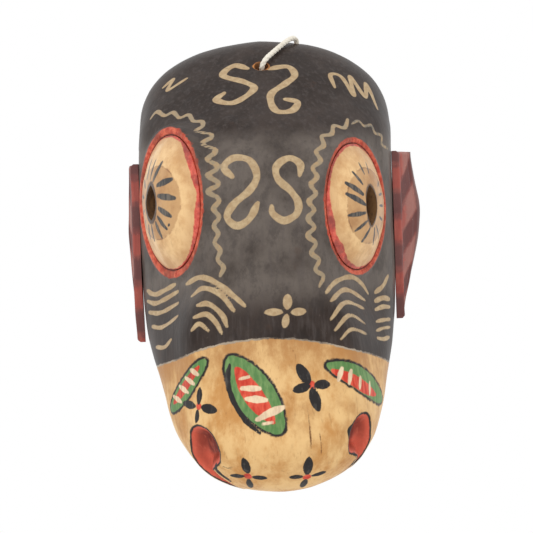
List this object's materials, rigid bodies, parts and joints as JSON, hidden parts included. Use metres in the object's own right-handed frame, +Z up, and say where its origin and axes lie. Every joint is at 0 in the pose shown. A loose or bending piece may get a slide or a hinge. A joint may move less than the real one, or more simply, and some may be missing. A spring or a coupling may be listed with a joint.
{
  "type": "carved wall mask",
  "caption": "Carved and painted hollow wooden animal-head mask with bored dome eyes, nailed-on red ears and a cotton hanging cord.",
  "frame": {"origin": "on the flat back of the rim, at its top centre, 5 mm below the rim's top", "axes": "+Z up along the mask, +X to the viewer's right, +Y out of the open back towards the wall"},
  "size_m": [0.1758, 0.1175, 0.2607],
  "materials": {
    "painted_wood": "black brushed paint under satin varnish, with tan decoration and a cream muzzle",
    "cream_paint": "cream brushed paint under satin varnish",
    "red_paint": "red brushed paint under satin varnish",
    "iron": "dull iron, painted over",
    "cotton": "twisted cotton string"
  },
  "bodies": {
    "root": {"head_shell": "painted_wood", "eye_left": "cream_paint", "eye_right": "cream_paint", "ear_left": "red_paint", "ear_right": "red_paint", "ear_left_nail_upper": "iron", "ear_left_nail_lower": "iron", "ear_right_nail_upper": "iron", "ear_right_nail_lower": "iron", "hanging_cord": "cotton", "cord_knot": "cotton"}
  },
  "joints": []
}
